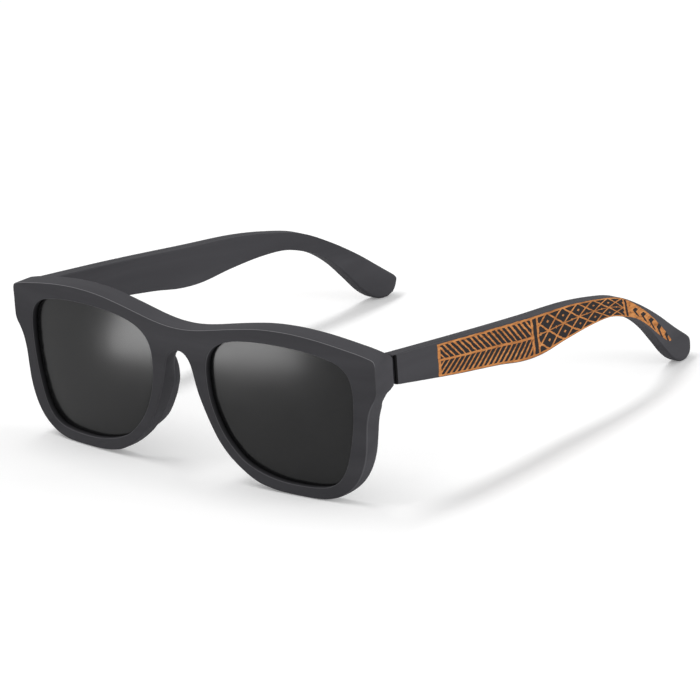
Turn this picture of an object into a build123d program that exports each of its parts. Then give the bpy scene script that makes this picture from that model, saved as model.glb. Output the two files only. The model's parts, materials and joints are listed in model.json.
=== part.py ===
from build123d import *
import math
import os

# Wooden sunglasses, open and standing on the rim bottoms and the temple tips.
# Millimetres. +Z is up, the front faces -Y and the temples run back along +Y.
# Drawn with the front face's middle at Y = 0, then moved forward by half the whole depth,
# so the origin is on the floor under the middle of the bounding box.
# Left and right are the wearer's, so the left side is at +X.

# Front: rims, bridge and end pieces
bridge_gap = 21.5
opening_width = 52.5
opening_height = 41.1
lower_rim = 3.4
upper_rim = 4.4
outer_rim = 8.15
front_bow_radius = 460
rim_depth = 4.5
brow_depth = 7.2

# End piece: a lug behind the upper outer corner, and a flat let in beside it for the hinge
lug_bottom_rise = 0.7
lug_top_drop = 0.75
lug_reach = 7.7
lug_corner_round = 0.6
seat_depth = 6.1
seat_margin = 0.6

# Lenses
lens_thickness = 1.6
lens_setback = 1.9
groove_depth = 0.7
groove_clearance = 0.04

# Nose pads, measured across from the nose edge of the front
pad_reach = 9.3
pad_shoulder = 7.7
pad_width = 5.0
pad_shoulder_width = 4.5
pad_ridge_width = 3.5
pad_flare = 1.7
pad_crescent = 1.0

# Temples
temple_length = 143.7
temple_thickness = 4.6
temple_gap = 0.9
temple_toe_in = 10.4

# Spring hinge, set a little below the middle of the temple's front end
hinge_drop = 1.0
hinge_slope = 7.0
hinge_offset = 1.8
barrel_radius = 1.6
screw_radius = 0.7
eye_height = 1.92
eye_clearance = 0.04
ear_height = 1.35
leaf_thickness = 0.9
leaf_width = 3.4
leaf_height = 8.4
hinge_head_radius = 1.25
hinge_head_height = 0.7
driver_slot = 0.35

# Slider, spring and their box
neck_length = 1.35
neck_width = 2.4
rod_radius = 0.6
rod_end_room = 1.6
box_width = 3.6
box_height = 4.2
box_length = 10.6
box_round = 0.5
bore_radius = 1.3
bore_wall = 1.0
bush_length = 1.1
spring_wire_radius = 0.19
spring_turns = 5
nut_length = 1.4
nut_radius = 1.15
shoulder_gap = 0.05
plate_thickness = 0.8
plate_tail = 5.2

# Small wood screws
wood_screw_radius = 0.5
wood_screw_length = 2.6
wood_head_radius = 0.85
wood_head_height = 0.45

fit_clearance = 0.02
cut_overrun = 5.0

half_width = bridge_gap / 2 + opening_width + outer_rim
front_height = lower_rim + opening_height + upper_rim
opening_centre_x = bridge_gap / 2 + opening_width / 2
opening_centre_z = lower_rim + opening_height / 2

# Outline of one half of the front, as shares of half_width and front_height
brow_shares = [(0, 0.900), (0.21, 0.939), (0.42, 0.990), (0.59, 1.0), (0.80, 0.970), (1.0, 0.911)]
cheek_shares = [(1.0, 0.695), (0.966, 0.615), (0.934, 0.357), (0.882, 0.147), (0.792, 0.039), (0.665, 0)]
nose_shares = [(0.57, 0), (0.421, 0.017), (0.295, 0.106), (0.201, 0.231), (0.127, 0.419),
               (0.090, 0.552), (0.070, 0.664), (0.044, 0.731), (0, 0.757)]

# Lens opening, as shares of its width and height from its centre
opening_shares = [(-0.150, 0.497), (0.120, 0.497), (0.300, 0.478), (0.411, 0.432), (0.490, 0.315),
                  (0.497, 0.120), (0.455, -0.220), (0.373, -0.432), (0.190, -0.497), (-0.057, -0.490),
                  (-0.276, -0.395), (-0.432, -0.171), (-0.499, 0.120), (-0.472, 0.344), (-0.305, 0.468)]

# Side view of a temple, as shares of temple_length and temple_rise
temple_top_shares = [(0, 1), (0.214, 0.928), (0.423, 0.853), (0.562, 0.806), (0.652, 0.753), (0.736, 0.680),
                     (0.808, 0.562), (0.886, 0.402), (0.966, 0.207)]
temple_tip_shares = [(0.966, 0.207), (1.0, 0.110), (0.995, 0.034), (0.968, 0)]
temple_foot_shares = [(0.954, 0), (0.914, 0.071), (0.871, 0.222), (0.832, 0.357), (0.788, 0.467),
                      (0.744, 0.535), (0.695, 0.584), (0.632, 0.598), (0.541, 0.587), (0.451, 0.558),
                      (0.319, 0.622), (0.180, 0.695), (0, 0.799)]

# Plan view of a temple's outer face: shares of temple_length, and of temple_toe_in inwards
temple_plan_shares = [(0, 0), (0.22, 0.045), (0.60, 0.33), (1.0, 1.0)]


def at(shares, size_x, size_y, start=(0, 0)):
    return [(start[0] + x * size_x, start[1] + y * size_y) for x, y in shares]


def curve(points, start_way, end_way):
    """A smooth line through the points that leaves and arrives in the given directions."""
    ways = [Vector(*way).normalized() for way in (start_way, end_way)]
    return Spline(*points, tangents=ways, tangent_scalars=(1, 1))


def front_bow(x):
    """How far back the front face lies at this distance from the middle."""
    return front_bow_radius - math.sqrt(front_bow_radius**2 - x**2)


# The temple's front end is as high as the back of the lug
lug_bottom = cheek_shares[0][1] * front_height
temple_rise = brow_shares[-1][1] * front_height - lug_top_drop
hinge_height = temple_rise * (1 + temple_foot_shares[-1][1]) / 2 - hinge_drop

# The hinge axis stands in the middle of the gap, inboard of the temple
lug_front_y = front_bow(half_width)
lug_back_y = lug_front_y + lug_reach
temple_front_y = lug_back_y + temple_gap
axis_y = lug_back_y + temple_gap / 2
temple_inner_x = half_width - temple_thickness
axis_x = temple_inner_x - hinge_offset
seat_y = front_bow(axis_x) + seat_depth
seat_start = axis_x - leaf_width / 2 - seat_margin
box_front = barrel_radius + neck_length
plate_length = box_length + plate_tail
rod_length = box_length - bore_wall - rod_end_room
middle_y = (temple_front_y + temple_length) / 2


def stand_up(face, start_y, depth):
    """Extrude a face drawn in X and Z from start_y backwards."""
    upright = Plane(origin=(0, start_y, 0), x_dir=(1, 0, 0), z_dir=(0, -1, 0))
    return extrude(upright * face, -depth)


def both_sides(solid):
    return solid + mirror(solid, Plane.YZ)


def front_outline():
    """The outline of the front, in X and Z: the +X half and its mirror image."""
    brow = at(brow_shares, half_width, front_height)
    cheek = at(cheek_shares, half_width, front_height)
    nose = at(nose_shares, half_width, front_height)
    half = [
        curve(brow, (1, 0), (1, -0.27)),
        Line(brow[-1], cheek[0]),
        curve(cheek, (-0.5, -1), (-1, 0)),
        Line(cheek[-1], nose[0]),
        curve(nose, (-1, 0), (-1, 0)),
    ]
    return make_face(half + [edge.mirror(Plane.YZ) for edge in half])


def opening_face(grow):
    """The lens opening on the +X side, its outline moved outwards by grow."""
    centre = (opening_centre_x, opening_centre_z)
    curve = Spline(*at(opening_shares, opening_width, opening_height, centre), periodic=True)
    if grow:
        count = 2 * len(opening_shares)
        places = [curve @ (step / count) for step in range(count)]
        ways = [curve % (step / count) for step in range(count)]
        grown = [(place.X - grow * way.Y, place.Y + grow * way.X) for place, way in zip(places, ways)]
        curve = Spline(*grown, periodic=True)
    return make_face(curve)


def front_slab(start, end):
    """The bowed slab between two depths behind the front face."""
    tall = front_height + 2 * cut_overrun
    ring = Cylinder(front_bow_radius - start, tall) - Cylinder(front_bow_radius - end, tall)
    near_side = Pos(0, -front_bow_radius, 0) * Box(3 * half_width, front_bow_radius, tall)
    return Pos(0, front_bow_radius, front_height / 2) * (ring & near_side)


def rim_back():
    """All the space behind the rims, whose back face leans so that the brow is the thickest."""
    lean = math.degrees(math.atan2(brow_depth - rim_depth, front_height))
    radius = front_bow_radius - rim_depth
    return Pos(0, rim_depth, 0) * Rot(-lean, 0, 0) * Pos(0, radius, 0) * Cylinder(radius, 4 * front_height)


def hinge_pocket():
    """What is cut from the back of the front, so that the hinge leaf lies flat."""
    width = temple_inner_x - seat_start
    height = leaf_height + 2 * seat_margin
    return Pos(seat_start + width / 2, seat_y + lug_reach / 2, hinge_height) * Box(width, lug_reach, height)


def end_lug():
    """The block that reaches back outside the hinge to meet the temple."""
    lug_top = brow_shares[-1][1] * front_height
    start_y = lug_front_y + rim_depth / 2
    side = make_face(Polyline(
        (start_y, lug_bottom),
        (lug_front_y + lug_reach / 2, lug_bottom),
        (lug_back_y, lug_bottom + lug_bottom_rise),
        (lug_back_y, lug_top - lug_top_drop),
        (lug_back_y - lug_reach / 2, lug_top),
        (start_y, lug_top),
        close=True,
    ))
    across = Plane(origin=(temple_inner_x, 0, 0), x_dir=(0, 1, 0), z_dir=(1, 0, 0))
    lug = extrude(across * side, temple_thickness)
    rear = lug.edges().filter_by(Axis.Z).group_by(Axis.X)[-1].sort_by(Axis.Y)[-1]
    return fillet(rear, lug_corner_round)


def make_front():
    cut_depth = lug_back_y + 2 * cut_overrun
    front = stand_up(front_outline(), -cut_overrun, cut_depth) & front_slab(0, 2 * brow_depth)
    front = front - rim_back() + both_sides(end_lug())
    front -= both_sides(hinge_pocket())
    front -= both_sides(stand_up(opening_face(0), -cut_overrun, cut_depth))
    front -= both_sides(make_lens(groove_clearance))
    for height in leaf_screw_heights():
        hole = Pos(axis_x, seat_y + leaf_thickness, height) * screw_solid(fit_clearance)
        front -= both_sides(hole)
    return front


def make_lens(grow=0):
    """The +X lens; grow makes the same shape larger all over, to cut its groove."""
    blank = stand_up(opening_face(groove_depth + grow), 0, lug_back_y)
    return blank & front_slab(lens_setback - grow, lens_setback + lens_thickness + grow)


def pad_section(depth, shift, width, crescent):
    """A section of a nose pad: a bent bar along the nose edge, with round ends."""
    low, low_middle, high_middle, high = at(nose_shares[3:7], half_width, front_height)
    middle = ((low_middle[0] + high_middle[0]) / 2, (low_middle[1] + high_middle[1]) / 2)
    near_low, near_high = [(x + shift + crescent, z) for x, z in (low, high)]
    far_low, far_middle, far_high = [(x + width, z) for x, z in (low, middle, high)]
    low_reach = (far_low[0] - near_low[0]) / 2
    high_reach = (far_high[0] - near_high[0]) / 2
    outline = [
        ThreePointArc(near_low, (middle[0] + shift, middle[1]), near_high),
        ThreePointArc(near_high, (near_high[0] + high_reach, high[1] + high_reach), far_high),
        ThreePointArc(far_high, far_middle, far_low),
        ThreePointArc(far_low, (near_low[0] + low_reach, low[1] - low_reach), near_low),
    ]
    upright = Plane(origin=(0, depth, 0), x_dir=(1, 0, 0), z_dir=(0, -1, 0))
    return upright * make_face(outline)


def make_pad():
    """A nose pad on the +X side: it stands on the back of the rim and leans away from the nose."""
    sections = [
        pad_section(rim_depth, 0, pad_width, 0),
        pad_section(pad_shoulder, pad_flare / 2, pad_shoulder_width, pad_crescent / 2),
        pad_section(pad_reach, pad_flare, pad_ridge_width, pad_crescent),
    ]
    return loft(sections, ruled=True) & rim_back()


def make_temple():
    """The +X temple, cut from its side view and its curved plan."""
    start = (temple_front_y, 0)
    top = at(temple_top_shares, temple_length, temple_rise, start)
    tip = at(temple_tip_shares, temple_length, temple_rise, start)
    foot = at(temple_foot_shares, temple_length, temple_rise, start)
    fall = (top[-1][0] - top[-2][0], top[-1][1] - top[-2][1])
    side = make_face([
        curve(top, (1, -0.11), fall),
        curve(tip, fall, (-1, 0)),
        Line(tip[-1], foot[0]),
        curve(foot, (-1, 0), (-1, 0.2)),
        Line(foot[-1], top[0]),
    ])
    across = Plane(origin=(0, 0, 0), x_dir=(0, 1, 0), z_dir=(1, 0, 0))
    side_solid = extrude(across * side, half_width + cut_overrun)
    outer = [
        (half_width - inwards * temple_toe_in, temple_front_y + along * temple_length)
        for along, inwards in temple_plan_shares
    ]
    inner = [(x - temple_thickness, y) for x, y in outer]
    plan = make_face([
        curve(outer, (0, 1), (-0.16, 1)),
        Line(outer[-1], inner[-1]),
        curve(inner[::-1], (0.16, -1), (0, -1)),
        Line(inner[0], outer[0]),
    ])
    temple = side_solid & extrude(plan, front_height)
    temple -= box_place() * (Pos(-box_width / 2, plate_length / 2 - fit_clearance, 0) * Box(
        box_width, plate_length + 2 * fit_clearance, box_height + 2 * fit_clearance))
    for along in plate_screw_places():
        temple -= box_place() * Pos(-plate_thickness, along, 0) * Rot(0, 0, 90) * screw_solid(fit_clearance)
    return temple


def box_place():
    """Where the spring box meets the temple's inner face: its front end, sloped like the temple."""
    slope = Rot(-hinge_slope, 0, 0)
    return Pos(temple_inner_x, axis_y, hinge_height) * slope * Pos(0, box_front + shoulder_gap, 0)


def slide_place():
    """The middle of the spring box's bore, at its front end."""
    return box_place() * Pos(-hinge_offset, 0, 0)


def screw_solid(grow=0):
    """A wood screw driven along -Y: its head stands proud of the origin, its shank goes in."""
    shank = Rot(90, 0, 0) * extrude(Circle(wood_screw_radius + grow), wood_screw_length)
    if grow:
        return shank
    head = Rot(-90, 0, 0) * extrude(Circle(wood_head_radius), wood_head_height)
    slot = Pos(0, wood_head_height, 0) * Box(2 * wood_head_radius, wood_head_height, driver_slot / 2)
    return shank + (head - slot)


def leaf_screw_heights():
    reach = leaf_height / 2 - wood_head_radius - fit_clearance
    return [hinge_height - reach, hinge_height + reach]


def plate_screw_places():
    start = box_length + 1.5 * wood_head_radius
    return [start, plate_length - 1.5 * wood_head_radius]


def make_front_leaf():
    """The hinge leaf on the front: a plate with two ears that hold the screw."""
    plate_y = seat_y + leaf_thickness / 2
    leaf = Pos(axis_x, plate_y, hinge_height) * Box(leaf_width, leaf_thickness, leaf_height)
    ear_gap = eye_height / 2 + eye_clearance
    for low in (hinge_height - ear_gap - ear_height, hinge_height + ear_gap):
        barrel = Pos(axis_x, axis_y, low) * extrude(Circle(barrel_radius), ear_height)
        arm_length = axis_y - seat_y
        arm = Pos(axis_x, seat_y + arm_length / 2, low + ear_height / 2) * Box(
            2 * barrel_radius, arm_length, ear_height)
        leaf += barrel + arm
    hole_height = 4 * ear_height + eye_height
    leaf -= Pos(axis_x, axis_y, hinge_height) * Cylinder(screw_radius + fit_clearance, hole_height)
    for height in leaf_screw_heights():
        leaf -= Pos(axis_x, seat_y + leaf_thickness / 2, height) * Rot(90, 0, 0) * Cylinder(
            wood_screw_radius + fit_clearance, 2 * leaf_thickness)
    return leaf


def make_hinge_screw():
    ear_gap = eye_height / 2 + eye_clearance
    top = hinge_height + ear_gap + ear_height
    length = 2 * (ear_gap + ear_height)
    shank = Pos(axis_x, axis_y, top) * extrude(Circle(screw_radius), -length)
    head = Pos(axis_x, axis_y, top) * extrude(Circle(hinge_head_radius), hinge_head_height)
    head = chamfer(head.faces().sort_by(Axis.Z)[-1].edges(), hinge_head_height / 4)
    slot = Pos(axis_x, axis_y, top + hinge_head_height) * Box(
        2 * hinge_head_radius, driver_slot, hinge_head_height)
    return shank + (head - slot)


def make_slider():
    """The sprung half of the hinge: an eye on the screw, a neck and a rod into the box."""
    eye = Pos(axis_x, axis_y, hinge_height) * Cylinder(barrel_radius, eye_height)
    neck_start = screw_radius + (barrel_radius - screw_radius) / 2
    neck_span = box_front - neck_start
    neck = Pos(0, -shoulder_gap - neck_span / 2, 0) * Box(neck_width, neck_span, eye_height)
    slider = eye + slide_place() * neck
    trim = Pos(axis_x, axis_y, hinge_height) * Box(4 * box_front, 4 * box_front, eye_height)
    slider = slider & trim
    rod = Rot(-90, 0, 0) * extrude(Circle(rod_radius), rod_length + shoulder_gap)
    slider += slide_place() * Pos(0, -shoulder_gap, 0) * rod
    bore = Pos(axis_x, axis_y, hinge_height) * Cylinder(screw_radius + eye_clearance, 2 * eye_height)
    return slider - bore


def make_box():
    """The spring box with the base plate that holds it to the temple."""
    body = Pos(-box_width / 2, box_length / 2, 0) * Box(box_width, box_length, box_height)
    inner_edges = body.edges().filter_by(Axis.Y).group_by(Axis.X)[0]
    body = fillet(inner_edges, box_round)
    tail = Pos(-plate_thickness / 2, (box_length + plate_length) / 2, 0) * Box(
        plate_thickness, plate_tail, box_height)
    body += fillet(tail.edges().filter_by(Axis.X).group_by(Axis.Y)[-1], box_height / 3)
    bore = Pos(-hinge_offset, 0, 0) * Rot(-90, 0, 0) * extrude(Circle(bore_radius), box_length - bore_wall)
    body -= bore
    for along in plate_screw_places():
        body -= Pos(-plate_thickness / 2, along, 0) * Rot(0, 90, 0) * Cylinder(
            wood_screw_radius + fit_clearance, 2 * plate_thickness)
    return box_place() * body


def make_bush():
    """The ring that closes the box's bore round the rod."""
    ring = Circle(bore_radius - fit_clearance) - Circle(rod_radius + eye_clearance)
    return slide_place() * Rot(-90, 0, 0) * extrude(ring, bush_length)


def make_nut():
    ring = Circle(nut_radius) - Circle(rod_radius + fit_clearance)
    start = rod_length - nut_length
    return slide_place() * Pos(0, start, 0) * Rot(-90, 0, 0) * extrude(ring, nut_length)


def make_spring():
    """A coil round the rod, between the bush and the nut."""
    coil_radius = (rod_radius + bore_radius) / 2
    length = rod_length - nut_length - bush_length - 2 * spring_wire_radius - 2 * fit_clearance
    path = Helix(length / spring_turns, length, coil_radius)
    section = Plane(origin=path @ 0, z_dir=path % 0) * RegularPolygon(spring_wire_radius, 6)
    coil = sweep(section, path=path)
    start = bush_length + spring_wire_radius + fit_clearance
    return slide_place() * Pos(0, start, 0) * Rot(-90, 0, 0) * coil


def make_leaf_screws():
    place = Pos(axis_x, seat_y + leaf_thickness, 0)
    screws = [place * Pos(0, 0, height) * screw_solid() for height in leaf_screw_heights()]
    return Compound(children=screws)


def make_box_screws():
    turn = Rot(0, 0, 90)
    places = [box_place() * Pos(-plate_thickness, along, 0) for along in plate_screw_places()]
    screws = [place * turn * screw_solid() for place in places]
    return Compound(children=screws)


one_side = {
    "lens": make_lens,
    "nose_pad": make_pad,
    "temple": make_temple,
    "front_leaf": make_front_leaf,
    "leaf_screws": make_leaf_screws,
    "hinge_screw": make_hinge_screw,
    "hinge_slider": make_slider,
    "spring_box": make_box,
    "box_screws": make_box_screws,
    "guide_bush": make_bush,
    "hinge_spring": make_spring,
    "rod_nut": make_nut,
}

os.makedirs("parts", exist_ok=True)
centred = Pos(0, -middle_y, 0)
export_step(centred * make_front(), "parts/front_frame.step")
for name, make in one_side.items():
    left = centred * make()
    export_step(left, f"parts/left_{name}.step")
    export_step(mirror(left, Plane.YZ), f"parts/right_{name}.step")
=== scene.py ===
import math
import json
import bpy
from mathutils import Matrix, Vector
from mathutils.geometry import delaunay_2d_cdt


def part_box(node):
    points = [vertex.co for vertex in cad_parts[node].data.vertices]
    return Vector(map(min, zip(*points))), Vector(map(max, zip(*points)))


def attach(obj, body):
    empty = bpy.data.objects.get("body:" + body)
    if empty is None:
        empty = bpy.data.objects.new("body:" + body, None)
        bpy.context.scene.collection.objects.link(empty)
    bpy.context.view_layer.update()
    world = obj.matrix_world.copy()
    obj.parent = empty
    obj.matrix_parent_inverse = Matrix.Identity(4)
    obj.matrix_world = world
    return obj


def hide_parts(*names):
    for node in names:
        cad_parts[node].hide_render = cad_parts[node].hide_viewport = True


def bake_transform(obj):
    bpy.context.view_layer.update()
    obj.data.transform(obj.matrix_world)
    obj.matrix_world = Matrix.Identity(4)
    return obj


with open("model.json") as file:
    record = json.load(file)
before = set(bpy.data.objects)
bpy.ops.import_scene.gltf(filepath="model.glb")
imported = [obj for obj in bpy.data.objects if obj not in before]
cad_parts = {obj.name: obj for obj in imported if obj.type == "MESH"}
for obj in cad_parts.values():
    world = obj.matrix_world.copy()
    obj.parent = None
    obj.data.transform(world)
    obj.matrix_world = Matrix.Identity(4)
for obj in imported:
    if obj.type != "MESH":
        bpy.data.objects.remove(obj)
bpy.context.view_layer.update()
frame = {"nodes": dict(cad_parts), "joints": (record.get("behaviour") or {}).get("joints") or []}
mm = 0.001
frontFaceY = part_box("front_frame")[0][1] / mm  # middle of the front face, in mm
sideSigns = {"left": 1, "right": -1}  # the wearer's left is at +X


# Curves, in millimetres

curveSteps = 12  # straight steps between two points of a curve, before it is resampled


def smoothLine(points, step, closed=False):
    # a rounded line through every point, resampled to about even steps
    count = len(points)
    dense = []
    spans = count if closed else count - 1
    for i in range(spans):
        p1 = Vector(points[i])
        p2 = Vector(points[(i + 1) % count])
        p0 = Vector(points[i - 1]) if closed or i > 0 else p1 * 2 - p2
        p3 = Vector(points[(i + 2) % count]) if closed or i + 2 < count else p2 * 2 - p1
        d1, d2, d3 = ((b - a).length ** 0.5 for a, b in ((p0, p1), (p1, p2), (p2, p3)))
        m1 = ((p1 - p0) / d1 - (p2 - p0) / (d1 + d2) + (p2 - p1) / d2) * d2
        m2 = ((p2 - p1) / d2 - (p3 - p1) / (d2 + d3) + (p3 - p2) / d3) * d2
        for k in range(curveSteps):
            t = k / curveSteps
            dense.append(p1 * (2 * t**3 - 3 * t**2 + 1) + m1 * (t**3 - 2 * t**2 + t)
                         + p2 * (3 * t**2 - 2 * t**3) + m2 * (t**3 - t**2))
    dense.append(Vector(points[0] if closed else points[-1]))
    return evenSteps(dense, step, closed)


def evenSteps(dense, step, closed):
    lengths = [0]
    for a, b in zip(dense, dense[1:]):
        lengths.append(lengths[-1] + (b - a).length)
    number = max(4, round(lengths[-1] / step))
    line = []
    k = 0
    for i in range(number if closed else number + 1):
        want = lengths[-1] * i / number
        while k < len(lengths) - 2 and lengths[k + 1] < want:
            k += 1
        span = lengths[k + 1] - lengths[k]
        line.append(dense[k].lerp(dense[k + 1], (want - lengths[k]) / span if span else 0))
    return line


def placeAt(line, share):
    # the point at a share of an open line's steps, and the line's direction there
    place = share * (len(line) - 1)
    k = min(len(line) - 2, int(place))
    return line[k].lerp(line[k + 1], place - k), (line[k + 1] - line[k]).normalized()


def lookUp(pairs, x):
    # straight between the (x, value) pairs of a list
    for (a, low), (b, high) in zip(pairs, pairs[1:]):
        if x <= b:
            return low + (high - low) * (x - a) / (b - a)
    return pairs[-1][1]


def ease(value, low, high):
    # from 0 at low to 1 at high, without a kink at either
    t = min(1, max(0, (value - low) / (high - low)))
    return t * t * (3 - 2 * t)


def sideNormals(loop):
    # unit normals on the left of a closed line's direction of travel
    normals = []
    for i in range(len(loop)):
        way = (loop[(i + 1) % len(loop)] - loop[i - 1]).normalized()
        normals.append(Vector((-way.y, way.x)))
    return normals


def insideLoop(point, loop):
    inside = False
    for a, b in zip(loop, loop[1:] + loop[:1]):
        if (a.y > point.y) != (b.y > point.y):
            if point.x < a.x + (point.y - a.y) / (b.y - a.y) * (b.x - a.x):
                inside = not inside
    return inside


def isBetween(point, lines):
    # inside the first line and outside the others
    return insideLoop(point, lines[0]) and not any(insideLoop(point, line) for line in lines[1:])


# Meshes

class Shell:
    # gathers points and faces in millimetres, with a UV for each point
    def __init__(self):
        self.points = []
        self.faces = []
        self.uvs = []

    def add(self, point, uv=(0, 0)):
        self.points.append(Vector(point) * mm)
        self.uvs.append(uv)
        return len(self.points) - 1

    def bridge(self, rings):
        # quads between each closed ring and the next
        for ringA, ringB in zip(rings, rings[1:]):
            for i in range(len(ringA)):
                j = (i + 1) % len(ringA)
                self.faces.append((ringA[i], ringA[j], ringB[j], ringB[i]))

    def tube(self, rings):
        self.bridge(rings)
        self.faces.append(tuple(rings[0]))
        self.faces.append(tuple(rings[-1]))

    def piece(self, name, material, smoothAngle=32):
        mesh = bpy.data.meshes.new(name)
        mesh.from_pydata([tuple(p) for p in self.points], [], self.faces)
        layer = mesh.uv_layers.new(name="panelPlace")
        for loop in mesh.loops:
            layer.data[loop.index].uv = self.uvs[loop.vertex_index]
        mesh.validate()
        obj = bpy.data.objects.new(name, mesh)
        bpy.context.scene.collection.objects.link(obj)
        bpy.context.view_layer.objects.active = obj
        obj.select_set(True)
        bpy.ops.object.mode_set(mode="EDIT")
        bpy.ops.mesh.select_all(action="SELECT")
        bpy.ops.mesh.normals_make_consistent(inside=False)
        bpy.ops.object.mode_set(mode="OBJECT")
        bpy.ops.object.shade_smooth_by_angle(angle=math.radians(smoothAngle))
        obj.select_set(False)
        weighted = obj.modifiers.new("evenNormals", "WEIGHTED_NORMAL")
        weighted.keep_sharp = True
        obj.data.materials.append(material)
        return obj


# Materials

class Recipe:
    # short ways to add nodes to one material
    def __init__(self, name):
        self.material = bpy.data.materials.new(name)
        self.material.use_nodes = True
        self.nodes = self.material.node_tree.nodes
        self.links = self.material.node_tree.links
        self.shader = self.nodes["Principled BSDF"]

    def plug(self, value, socket):
        # links a socket or sets a value; a colour may leave out its alpha
        if isinstance(value, bpy.types.NodeSocket):
            self.links.new(value, socket)
        elif socket.type == "RGBA":
            socket.default_value = (*value, 1)[:4]
        else:
            socket.default_value = value

    def give(self, values):
        # sets or links the shader's inputs by name
        for name, value in values.items():
            self.plug(value, self.shader.inputs[name])

    def math(self, operation, a, b=0.0, clamp=False):
        node = self.nodes.new("ShaderNodeMath")
        node.operation = operation
        node.use_clamp = clamp
        self.plug(a, node.inputs[0])
        self.plug(b, node.inputs[1])
        return node.outputs[0]

    def within(self, value, low, high):
        # 1 between low and high
        above = self.math("GREATER_THAN", value, low)
        return self.math("MULTIPLY", above, self.math("LESS_THAN", value, high))

    def allOf(self, *shares):
        total = shares[0]
        for share in shares[1:]:
            total = self.math("MULTIPLY", total, share)
        return total

    def anyOf(self, *shares):
        total = shares[0]
        for share in shares[1:]:
            total = self.math("MAXIMUM", total, share)
        return total

    def marks(self):
        # what the UV map says: x, y
        uv = self.nodes.new("ShaderNodeUVMap")
        uv.uv_map = "panelPlace"
        split = self.nodes.new("ShaderNodeSeparateXYZ")
        self.plug(uv.outputs["UV"], split.inputs[0])
        return split.outputs["X"], split.outputs["Y"]

    def place(self, scale=(1, 1, 1)):
        where = self.nodes.new("ShaderNodeTexCoord")
        mapping = self.nodes.new("ShaderNodeMapping")
        mapping.inputs["Scale"].default_value = scale
        self.links.new(where.outputs["Object"], mapping.inputs["Vector"])
        return mapping.outputs["Vector"]

    def noise(self, vector, scale, detail=4.0, rough=0.55, distort=0.0):
        node = self.nodes.new("ShaderNodeTexNoise")
        self.plug(vector, node.inputs["Vector"])
        node.inputs["Scale"].default_value = scale
        node.inputs["Detail"].default_value = detail
        node.inputs["Roughness"].default_value = rough
        node.inputs["Distortion"].default_value = distort
        return node.outputs["Fac"]

    def ramp(self, value, stops):
        node = self.nodes.new("ShaderNodeValToRGB")
        self.plug(value, node.inputs["Fac"])
        items = node.color_ramp.elements
        while len(items) < len(stops):
            items.new(0.5)
        for item, (place, colour) in zip(items, stops):
            item.position = place
            item.color = (*colour, 1)
        return node.outputs["Color"]

    def mix(self, share, a, b):
        node = self.nodes.new("ShaderNodeMix")
        node.data_type = "RGBA"
        self.plug(share, node.inputs[0])
        self.plug(a, node.inputs[6])
        self.plug(b, node.inputs[7])
        return node.outputs[2]

    def spread(self, value, low, high):
        node = self.nodes.new("ShaderNodeMapRange")
        self.plug(value, node.inputs["Value"])
        node.inputs["To Min"].default_value = low
        node.inputs["To Max"].default_value = high
        return node.outputs["Result"]

    def bump(self, height, strength, distance, after=None):
        node = self.nodes.new("ShaderNodeBump")
        node.inputs["Strength"].default_value = strength
        node.inputs["Distance"].default_value = distance
        self.plug(height, node.inputs["Height"])
        if after:
            self.plug(after, node.inputs["Normal"])
        return node.outputs["Normal"]


stainedWood = {
    "dark": (0.049, 0.0482, 0.0530),
    "light": (0.071, 0.0700, 0.0765),
    "darkBelow": 0.35,
    "lightAbove": 0.68,
    # painted highlight: a light grey laid along the front's edges, broken up by the pores
    "paintedHighlight": (0.34, 0.337, 0.35),
    "highlightPores": (0.75, 1.1),
    # painted shade: a near-black laid where shade falls, in the lens openings' walls and grooves and beside
    # the hinge gap
    "paintedShade": (0.004, 0.004, 0.0045),
    "paintedShadeShare": 0.92,
    "poreScale": 900,
    "poreShade": 0.35,
    "waveScale": 120,
    "waveStretch": 0.6,
    "rough": (0.66, 0.78),
    "specular": 0.06,
    "grainBump": 0.3,
    "grainDepth": 0.00004,
}
# the grain runs across the front, up the pads and along the temples
grainStretch = {"front": (0.07, 1, 1), "pad": (1, 1, 0.08), "temple": (1, 0.07, 1)}


def addStain(recipe, stretch):
    # fine pores stretched along the grain, slow waves, and the tone that they give
    look = stainedWood
    pores = recipe.noise(recipe.place(stretch), look["poreScale"], detail=5, rough=0.6, distort=0.2)
    slow = tuple(s * look["waveStretch"] for s in stretch)
    waves = recipe.noise(recipe.place(slow), look["waveScale"], detail=3, rough=0.5, distort=0.6)
    tone = recipe.ramp(waves, [(look["darkBelow"], look["dark"]), (look["lightAbove"], look["light"])])
    tone = recipe.mix(recipe.spread(pores, 0.0, look["poreShade"]), tone, look["dark"])
    return pores, waves, tone


def finishWood(recipe, pores, waves, tone):
    look = stainedWood
    grain = recipe.bump(pores, look["grainBump"], look["grainDepth"])
    rough = recipe.spread(waves, *look["rough"])
    recipe.give({"Base Color": tone, "Roughness": rough, "Specular IOR Level": look["specular"],
                 "Normal": grain})
    return grain


def makeStainedWood(name, stretch):
    # the UV map marks this wood: x for painted shade on the openings' walls and lens grooves, y for a
    # painted highlight along the edges
    look = stainedWood
    recipe = Recipe(name)
    pores, waves, tone = addStain(recipe, stretch)
    shadeMark, highlightMark = recipe.marks()
    # painted highlight: the marked edges are lightened, broken up by the pores
    paintedHighlight = recipe.math("MULTIPLY", highlightMark, recipe.spread(pores, *look["highlightPores"]), clamp=True)
    tone = recipe.mix(paintedHighlight, tone, look["paintedHighlight"])
    # painted shade: the marked opening walls and lens grooves go near black
    paintedShade = recipe.math("MULTIPLY", shadeMark, look["paintedShadeShare"], clamp=True)
    tone = recipe.mix(paintedShade, tone, look["paintedShade"])
    finishWood(recipe, pores, waves, tone)
    return recipe.material


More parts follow.
